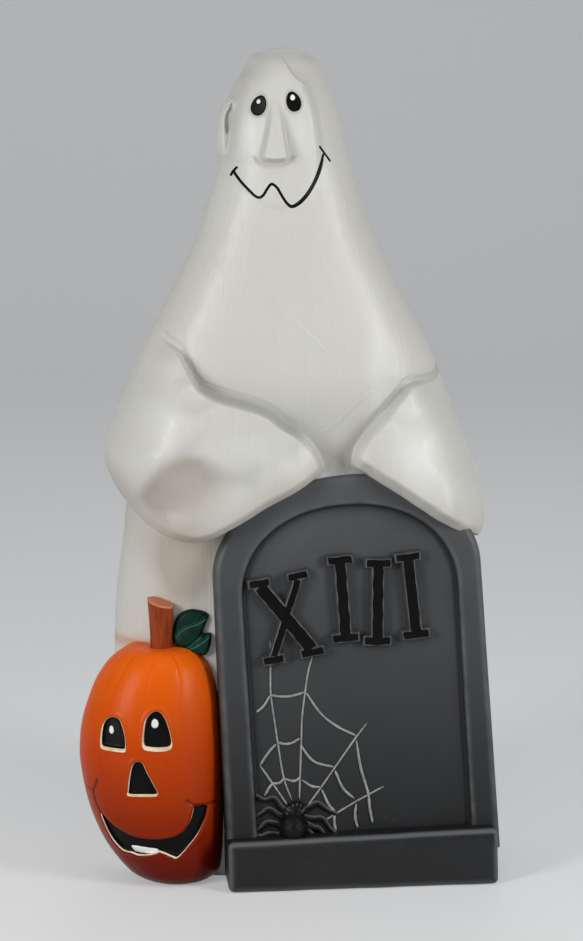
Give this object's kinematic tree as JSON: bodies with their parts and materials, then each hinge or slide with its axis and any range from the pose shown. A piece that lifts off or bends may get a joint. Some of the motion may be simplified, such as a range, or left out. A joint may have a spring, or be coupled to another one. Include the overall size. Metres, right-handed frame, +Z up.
{
  "type": "halloween blow mold",
  "caption": "Lit hollow plastic yard figure: a ghost leaning over a gravestone with a carved pumpkin, and a snap-in lamp holder in its back.",
  "frame": {"origin": "on the floor plane under the figure, in the mould's middle, 20 mm in front of the parting plane", "axes": "+Z up, -Y out of the painted front, +X to the gravestone's side, the right of a viewer in front"},
  "size_m": [0.4394, 0.2491, 0.863],
  "materials": {
    "ghost_white": "satin white polyethylene, translucent",
    "stone_grey": "dark grey paint on polyethylene",
    "pumpkin_orange": "orange paint on polyethylene",
    "stem_brown": "red-brown paint on polyethylene",
    "leaf_green": "dark green paint on polyethylene",
    "spider_black": "black paint on polyethylene",
    "web_grey": "rubbed grey paint on polyethylene",
    "holder_black": "black moulded plastic",
    "spring_steel": "bright spring steel",
    "contact_brass": "plain brass",
    "bulb_glass": "clear glass"
  },
  "bodies": {
    "shell": {"front_shell": "ghost_white", "back_shell": "ghost_white", "gravestone": "stone_grey", "pumpkin": "pumpkin_orange", "pumpkin_stem": "stem_brown", "pumpkin_leaf_upper": "leaf_green", "pumpkin_leaf_lower": "leaf_green", "spider": "spider_black", "spider_web": "web_grey"},
    "lamp_holder": {"lamp_holder_body": "holder_black", "lamp_holder_cap": "holder_black", "holder_clip_left": "spring_steel", "holder_clip_right": "spring_steel", "holder_screw_shell": "contact_brass", "holder_centre_contact": "contact_brass"},
    "bulb_tip": {"bulb_contact_tip": "spring_steel", "bulb_base_insulator": "holder_black"},
    "bulb": {"bulb_screw_base": "contact_brass", "bulb_glass": "bulb_glass", "bulb_stem_and_filament": "spring_steel"}
  },
  "joints": [
    {"name": "lamp_holder_pull", "type": "slide", "parent": "shell", "child": "lamp_holder", "axis": [0, 1, 0], "range_m": [0, 0.12], "deforming": ["holder_clip_left", "holder_clip_right"]},
    {"name": "bulb_advance", "type": "slide", "parent": "lamp_holder", "child": "bulb_tip", "axis": [0, -1, 0], "range_m": [0, 0.0077]},
    {"name": "bulb_turn", "type": "hinge", "parent": "bulb_tip", "child": "bulb", "pos_m": [-0.02, 0.08, 0.25], "axis": [0, -1, 0], "range_deg": [0, 1080]}
  ],
  "couplings": [
    {"joint": "bulb_advance", "follows": "bulb_turn", "m_per_rad": 0.000404}
  ]
}
